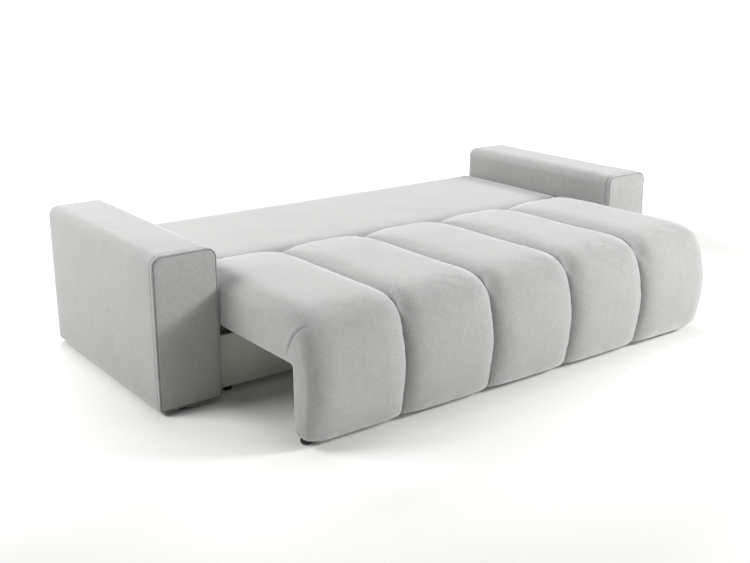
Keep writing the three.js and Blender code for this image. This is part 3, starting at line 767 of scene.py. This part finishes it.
def back_mesh(low, high):
    """The backrest's fabric: rings from its left end to its right, a little slack at the front edge."""
    sections = back_sections(low, high)
    top = high.z - back_crown
    radii = [back_corner_radius, back_corner_radius, back_corner_radius, back_pivot_radius]
    rings = [
        rounded_ring((low.y, low.z), (high.y, top), radii, back_ring_steps, shrink)
        for x, shrink in sections
    ]
    columns = len(rings[0])

    def place(column, row):
        y, z, out, up = rings[row][column]
        x, shrink = sections[row]
        depth_share = (y - low.y) / (high.y - low.y)
        across = math.cos(math.pi / 2 * x / high.x) ** back_crown_power if abs(x) < high.x - tiny else 0
        lift = max(up, 0) * back_crown * math.sin(math.pi * depth_share) * across
        lift += max(up, 0) * ripple((x, y, 0), back_ripple_size, back_ripple_height) * across
        lift -= max(up, 0) * front_sag * edge_fall(max(y - low.y, 0), front_sag_reach)
        return Vector((x, y, z + lift))

    def held(column, row):
        """All but the top, which is free between its four edges."""
        y, z, out, up = rings[row][column]
        at_end = abs(sections[row][0]) > high.x - back_end_radius
        return at_end or up < back_held_turn or y < low.y + back_held_front

    return wrapped(columns, len(sections) - 1, place, held)


def make_back():
    low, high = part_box("back_pad")
    piece = new_piece("backrest_cover", back_mesh(low, high))
    puff(piece, back_give)
    board_low, board_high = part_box("back_rear_board")
    carve(piece, box_mesh(
        (board_low.x - room_gap, board_low.y - room_gap, board_low.z - cut_past),
        (board_high.x + room_gap, board_high.y + room_gap, board_high.z + room_gap),
    ))
    for side, sign in sides.items():
        for part in ("back_bracket", "rest_stud"):
            part_low, part_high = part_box(f"{side}_{part}")
            inner = min(abs(part_low.x), abs(part_high.x)) - room_gap
            outer = high.x + cut_past
            carve_sideways(piece, part_low, part_high, sign * inner, sign * outer)
    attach(piece, "backrest")
    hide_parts("back_pad")
    return piece


# Boards, feet and glides
panel_edge = 0.004
board_edge = 0.0015
board_corner_radius = 0.030
board_corner_steps = 8
edge_steps = 3
hard_edge = 60
turned_hard_edge = 50
round_foot_profile = [(0, 0), (0.86, 0), (0.96, 0.06), (1, 0.18), (1, 1), (0, 1)]
glide_profile = [
    (0, 0), (0.5, 0), (0.74, 0.04), (0.9, 0.15), (0.98, 0.3), (1, 0.48), (1, 0.9), (0.96, 1), (0, 1),
]
glide_radius = 0.0215
box_foot_taper = 0.7
box_foot_edge = 0.003
round_columns = 40


def make_board(name, edge, rides, corner=0):
    """A board with softened edges, and with rounded lower corners where a radius is given."""
    low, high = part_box(name)
    bm = box_mesh(low, high)
    if corner:
        lower = lengthwise_edges(bm, lambda z: z < low.z + tiny)
        round_edges(bm, lower, corner, board_corner_steps)
    sharp = [found for found in bm.edges if found.calc_face_angle(0) > math.radians(hard_edge)]
    round_edges(bm, sharp, edge, edge_steps)
    piece = new_piece(f"{name}_finished", bm)
    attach(piece, rides)
    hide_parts(name)
    return piece


def make_turned(name, profile, rides, radius=None):
    """A round foot or glide: a profile of radius and height shares, turned about its axis."""
    low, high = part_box(name)
    centre = (low + high) / 2
    radius = radius or (high.x - low.x) / 2

    def place(column, row):
        out, up = profile[row]
        angle = 2 * math.pi * column / round_columns
        x = centre.x + radius * out * math.cos(angle)
        y = centre.y + radius * out * math.sin(angle)
        return Vector((x, y, low.z + (high.z - low.z) * up))

    turned = wrapped(round_columns, len(profile) - 1, place)
    piece = new_piece(f"{name}_finished", turned, turned_hard_edge)
    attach(piece, rides)
    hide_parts(name)
    return piece


def make_box_foot(name):
    """A square block that narrows to the floor."""
    low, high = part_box(name)
    bm = box_mesh(low, high)
    centre = (low + high) / 2
    for vert in bm.verts:
        if vert.co.z < centre.z:
            vert.co.x = centre.x + (vert.co.x - centre.x) * box_foot_taper
            vert.co.y = centre.y + (vert.co.y - centre.y) * box_foot_taper
    round_edges(bm, bm.edges, box_foot_edge, edge_steps)
    piece = new_piece(f"{name}_finished", bm)
    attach(piece, "carcass")
    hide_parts(name)
    return piece


# Finishes
white = (1, 1, 1)


def new_material(name):
    material = bpy.data.materials.new(name)
    material.use_nodes = True
    nodes = material.node_tree.nodes
    nodes.clear()
    output = nodes.new("ShaderNodeOutputMaterial")
    shader = nodes.new("ShaderNodeBsdfPrincipled")
    material.node_tree.links.new(shader.outputs["BSDF"], output.inputs["Surface"])
    return material, shader


def link(material, source, target):
    material.node_tree.links.new(source, target)


def object_noise(material, scale, detail, stretch=(1, 1, 1), roughness=0.5, distortion=0):
    """Noise that is fixed to the piece."""
    nodes = material.node_tree.nodes
    place = nodes.new("ShaderNodeTexCoord")
    mapping = nodes.new("ShaderNodeMapping")
    mapping.inputs["Scale"].default_value = stretch
    texture = nodes.new("ShaderNodeTexNoise")
    texture.inputs["Scale"].default_value = scale
    texture.inputs["Detail"].default_value = detail
    texture.inputs["Roughness"].default_value = roughness
    texture.inputs["Distortion"].default_value = distortion
    link(material, place.outputs["Object"], mapping.inputs["Vector"])
    link(material, mapping.outputs["Vector"], texture.inputs["Vector"])
    return texture.outputs["Fac"]


def ramp(material, source, low, high, from_low=0.3, from_high=0.7):
    """A colour that passes from one to another over a stretch of a value."""
    node = material.node_tree.nodes.new("ShaderNodeValToRGB")
    node.color_ramp.elements[0].position = from_low
    node.color_ramp.elements[1].position = from_high
    node.color_ramp.elements[0].color = (*low, 1)
    node.color_ramp.elements[1].color = (*high, 1)
    link(material, source, node.inputs["Fac"])
    return node.outputs["Color"]


def multiply(material, first, second, amount=1):
    node = material.node_tree.nodes.new("ShaderNodeMix")
    node.data_type = "RGBA"
    node.blend_type = "MULTIPLY"
    node.inputs["Factor"].default_value = amount
    link(material, first, node.inputs["A"])
    link(material, second, node.inputs["B"])
    return node.outputs["Result"]


def bump(material, shader, source, strength, distance):
    node = material.node_tree.nodes.new("ShaderNodeBump")
    node.inputs["Strength"].default_value = strength
    node.inputs["Distance"].default_value = distance
    link(material, source, node.inputs["Height"])
    link(material, node.outputs["Normal"], shader.inputs["Normal"])
    return node


def velvet():
    """Light grey short-pile velvet: brush marks, fine pile and a soft sheen."""
    material, shader = new_material("grey_velvet")
    streaks = object_noise(material, scale=46, detail=3, stretch=(1, 1, 0.4), roughness=0.6)
    mottles = object_noise(material, scale=115, detail=4, stretch=(1, 1, 0.8), roughness=0.75)
    smudges = object_noise(material, scale=6.5, detail=3, stretch=(1, 1, 0.55), roughness=0.55)
    pile = object_noise(material, scale=900, detail=2)
    tone = ramp(material, mottles, (0.385, 0.385, 0.379), (0.463, 0.463, 0.456))
    brushed = ramp(material, streaks, (0.955, 0.955, 0.955), white, from_low=0.34, from_high=0.66)
    shade = ramp(material, smudges, (0.955, 0.955, 0.957), white, from_low=0.36, from_high=0.56)
    tone = multiply(material, tone, brushed)
    link(material, multiply(material, tone, shade), shader.inputs["Base Color"])
    shader.inputs["Roughness"].default_value = 0.9
    shader.inputs["Specular IOR Level"].default_value = 0.15
    shader.inputs["Sheen Weight"].default_value = 1.0
    shader.inputs["Sheen Roughness"].default_value = 0.35
    shader.inputs["Sheen Tint"].default_value = (1, 1, 1, 1)
    bump(material, shader, pile, strength=0.12, distance=0.0006)
    return material


def grained(name, dark, light, roughness, relief, grain, metallic=0, band=(0.3, 0.7)):
    """A finish of two tones that a grain mixes, with a relief of the same grain.

    grain holds the noise's scale and detail, and where they differ its stretch, roughness and
    distortion. relief holds a strength and a depth. band is the part of the noise that mixes the tones.
    """
    material, shader = new_material(name)
    texture = object_noise(material, *grain)
    link(material, ramp(material, texture, dark, light, *band), shader.inputs["Base Color"])
    shader.inputs["Metallic"].default_value = metallic
    shader.inputs["Roughness"].default_value = roughness
    bump(material, shader, texture, *relief)
    return material


def make_finishes():
    """A finish for each material slot, and the darker cloth of the boards that close the rear: a copy of
    the box cloth darkened as painted shade, beside the box cloth made paler as painted light.
    """
    return {
        "velvet": velvet(),
        # partly the lining cloth's own pale tone, and partly painted light that lifts the front panel
        # sitting in the seat's shade
        "box_cloth": grained(
            "lining_cloth_painted_light", (0.77, 0.79, 0.725), (0.85, 0.87, 0.80),
            roughness=0.95, relief=(0.2, 0.0004), grain=(700, 2),
        ),
        "timber": grained(
            "planed_softwood", (0.34, 0.28, 0.20), (0.46, 0.39, 0.29),
            roughness=0.7, relief=(0.15, 0.0005), grain=(9, 4, (0.6, 9, 9), 0.6, 1.2),
        ),
        # painted shade: the chipboard's brown is made much darker, for the dark gap under the seat where
        # it shows
        "board": grained(
            "chipboard_painted_shade", (0.13, 0.115, 0.09), (0.24, 0.21, 0.17),
            roughness=0.85, relief=(0.2, 0.0004), grain=(160, 3, (1, 1, 1), 0.7), band=(0.35, 0.65),
        ),
        "mechanism_steel": grained(
            "powder_coated_steel", (0.13, 0.14, 0.15), (0.17, 0.18, 0.19),
            roughness=0.5, relief=(0.15, 0.0002), grain=(700, 2),
        ),
        "zinc_steel": grained(
            "zinc_plated_steel", (0.5456, 0.5632, 0.5896), (0.62, 0.64, 0.67),
            roughness=0.35, relief=(0.05, 0.0002), grain=(60, 3), metallic=1,
        ),
        "black_plastic": grained(
            "black_plastic", (0.010, 0.010, 0.011), (0.016, 0.016, 0.017),
            roughness=0.45, relief=(0.08, 0.0002), grain=(500, 2),
        ),
        "roller_plastic": grained(
            "white_nylon", (0.68, 0.68, 0.66), (0.74, 0.74, 0.72),
            roughness=0.45, relief=(0.08, 0.0002), grain=(500, 2),
        ),
        # painted shade: a darker copy of the same lining cloth for the rear boards, which the rear
        # softbox lights strongly
        "rear_box_cloth_painted_shade": grained(
            "lining_cloth_painted_shade", (0.30, 0.30, 0.295), (0.37, 0.37, 0.362),
            roughness=0.95, relief=(0.2, 0.0004), grain=(700, 2),
        ),
    }


def dress(piece, material):
    piece.data.materials.clear()
    piece.data.materials.append(material)


def dress_frame(finishes):
    """Gives every carried-over part the finish of its material slot."""
    slots = {row["node"]: row["material_slot"] for row in frame["record"]["subparts"]}
    for name, node in frame["nodes"].items():
        material = finishes[slots[name]]
        for place in node.material_slots:
            place.material = material


# Studio: the camera's place, its angles in degrees, and its lens and sensor in millimetres
camera_place = (-2.64767, -3.31457, 1.52038)
camera_pitch = -17.06
camera_yaw = -36.68
camera_lens = 50.32
camera_sensor = 36
camera_sees_to = 400

# The floor: its tone, the painted shade that darkens its colour with the distance from the sofa, and the
# painted light that makes it glow with that distance, though it is no lamp
floor_half = 150
floor_tones = ((0.93, 0.933, 0.915), (0.94, 0.943, 0.925))
floor_far_painted_shade = 0.78
floor_painted_shade_from = 0.2
floor_painted_shade_to = 1.0
painted_glow_start = 0.8
painted_glow_full = 3.0
painted_glow_strength = 0.98
painted_glow_under = 0.022
painted_glow_near = 0.07
painted_glow_near_reach = 0.06

# Softboxes: place, what they face, width, height and watts
softboxes = {
    "key_softbox": ((3.2, -3.4, 2.6), (0, 0, 0.3), 1.0, 0.8, 171),
    "fill_softbox": ((2.2, -4.2, 2.8), (0, 0, 0.3), 1.8, 1.4, 34),
    "front_softbox": ((1.5, -4.5, 1.6), (0.5, 0, 0.3), 2.0, 1.6, 36),
    "right_softbox": ((4.8, 0.3, 2.0), (1.0, 0, 0.3), 2.0, 1.8, 18),
    "left_softbox": ((-3.6, 1.2, 2.8), (-0.8, 0.3, 0.3), 2.0, 1.6, 118),
    "top_softbox": ((0.0, 0.2, 4.2), (0, 0, 0), 3.4, 3.0, 54),
    "rear_softbox": ((0.5, 3.6, 3.2), (0, 0, 0.3), 3.4, 2.0, 142),
}
sky_strength = 0.005
backdrop_strength = 1.0


def make_camera():
    camera = bpy.data.objects.new("camera", bpy.data.cameras.new("camera"))
    camera.location = camera_place
    camera.rotation_euler = (math.radians(90 + camera_pitch), 0, math.radians(camera_yaw))
    camera.data.sensor_width = camera_sensor
    camera.data.lens = camera_lens
    camera.data.clip_end = camera_sees_to
    bpy.context.scene.collection.objects.link(camera)
    bpy.context.scene.camera = camera


def make_softbox(name, place, target, width, height, power):
    data = bpy.data.lights.new(name, "AREA")
    data.shape = "RECTANGLE"
    data.size = width
    data.size_y = height
    data.energy = power
    light = bpy.data.objects.new(name, data)
    light.location = place
    light.rotation_euler = (Vector(target) - Vector(place)).to_track_quat("-Z", "Y").to_euler()
    bpy.context.scene.collection.objects.link(light)


def math_node(material, operation, first, second):
    """One step of arithmetic on two values, each a number or another node's output."""
    node = material.node_tree.nodes.new("ShaderNodeMath")
    node.operation = operation
    for slot, value in zip(node.inputs, (first, second)):
        if isinstance(value, (int, float)):
            slot.default_value = value
        else:
            link(material, value, slot)
    return node.outputs["Value"]


def away_from_sofa(material):
    """Each floor point's distance from the sofa's footprint."""
    nodes = material.node_tree.nodes
    place = nodes.new("ShaderNodeTexCoord")
    parts = nodes.new("ShaderNodeSeparateXYZ")
    link(material, place.outputs["Object"], parts.inputs["Vector"])
    arm_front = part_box("left_arm_cover")[0].y
    footprints = (
        ((cad_low.x, arm_front), (cad_high.x, cad_high.y)),
        ((-seat_half, cad_low.y), (seat_half, seat_rear)),
    )
    distances = []
    for low, high in footprints:
        squares = []
        for axis, start, end in zip("XY", low, high):
            middle, half = (start + end) / 2, (end - start) / 2
            from_middle = math_node(material, "SUBTRACT", parts.outputs[axis], middle)
            size = math_node(material, "ABSOLUTE", from_middle, 0)
            past = math_node(material, "MAXIMUM", math_node(material, "SUBTRACT", size, half), 0)
            squares.append(math_node(material, "MULTIPLY", past, past))
        distances.append(math_node(material, "SQRT", math_node(material, "ADD", *squares), 0))
    return math_node(material, "MINIMUM", *distances)


def painted_floor_glow(material, away):
    """Painted light on the studio floor: almost no glow round the sofa, where a faint glow lifts the
    shadows under it, and a full glow away from it.
    """
    nodes = material.node_tree.nodes
    rise = nodes.new("ShaderNodeMapRange")
    rise.interpolation_type = "SMOOTHSTEP"
    rise.inputs["From Min"].default_value = painted_glow_start
    rise.inputs["From Max"].default_value = painted_glow_full
    rise.inputs["To Max"].default_value = painted_glow_strength
    link(material, away, rise.inputs["Value"])
    first = nodes.new("ShaderNodeMapRange")
    first.inputs["From Max"].default_value = painted_glow_near_reach
    first.inputs["To Min"].default_value = painted_glow_under
    first.inputs["To Max"].default_value = painted_glow_near
    link(material, away, first.inputs["Value"])
    return math_node(material, "ADD", rise.outputs["Result"], first.outputs["Result"])


def make_floor():
    bm = bmesh.new()
    bmesh.ops.create_grid(bm, x_segments=1, y_segments=1, size=floor_half)
    floor = new_piece("studio_floor", bm)
    material, shader = new_material("studio_floor")
    cloud = object_noise(material, scale=3, detail=1)
    tone = ramp(material, cloud, *floor_tones)
    away = away_from_sofa(material)
    far_painted_shade_tone = (floor_far_painted_shade,) * 3
    # painted shade: the floor's colour grows darker away from the sofa
    painted_floor_shade = ramp(material, away, white, far_painted_shade_tone, floor_painted_shade_from, floor_painted_shade_to)
    link(material, multiply(material, tone, painted_floor_shade), shader.inputs["Base Color"])
    shader.inputs["Roughness"].default_value = 0.9
    shader.inputs["Specular IOR Level"].default_value = 0
    shader.inputs["Emission Color"].default_value = (1, 1, 1, 1)
    # painted light: the floor glows, though it is no lamp
    link(material, painted_floor_glow(material, away), shader.inputs["Emission Strength"])
    dress(floor, material)


def make_sky():
    """A dim sky that looks white behind the sofa."""
    world = bpy.data.worlds.new("studio")
    world.use_nodes = True
    sky = world.node_tree.nodes["Background"]
    sky.inputs["Color"].default_value = (1, 1, 1, 1)
    seen = world.node_tree.nodes.new("ShaderNodeLightPath")
    brightness = world.node_tree.nodes.new("ShaderNodeMapRange")
    brightness.inputs["To Min"].default_value = sky_strength
    brightness.inputs["To Max"].default_value = backdrop_strength
    world.node_tree.links.new(seen.outputs["Is Camera Ray"], brightness.inputs["Value"])
    world.node_tree.links.new(brightness.outputs["Result"], sky.inputs["Strength"])
    bpy.context.scene.world = world


def make_studio():
    make_camera()
    make_floor()
    make_sky()
    for name, values in softboxes.items():
        make_softbox(name, *values)
    bpy.context.scene.view_settings.view_transform = "Standard"


def make_everything():
    finishes = make_finishes()
    dress_frame(finishes)
    make_studio()
    dress(make_seat_pad(), finishes["velvet"])
    dress(make_back(), finishes["velvet"])
    dress(make_board("box_front_panel", panel_edge, "carcass"), finishes["box_cloth"])
    # the rear boards take the lining cloth darkened as painted shade
    dress(make_board("box_rear_panel", panel_edge, "carcass"), finishes["rear_box_cloth_painted_shade"])
    dress(make_board("back_rear_board", board_edge, "backrest"), finishes["rear_box_cloth_painted_shade"])
    # the seat's front board takes the chipboard darkened as painted shade
    front_board = make_board("seat_front_board", board_edge, "seat", board_corner_radius)
    dress(front_board, finishes["board"])
    for side in sides:
        dress(make_arm(side), finishes["velvet"])
        dress(make_box_foot(f"box_{side}_foot"), finishes["black_plastic"])
        for end in ("front", "rear"):
            foot = make_turned(f"{side}_arm_{end}_foot", round_foot_profile, "carcass")
            dress(foot, finishes["black_plastic"])
        glide = make_turned(f"seat_{side}_glide", glide_profile, "seat", glide_radius)
        dress(glide, finishes["black_plastic"])


make_everything()
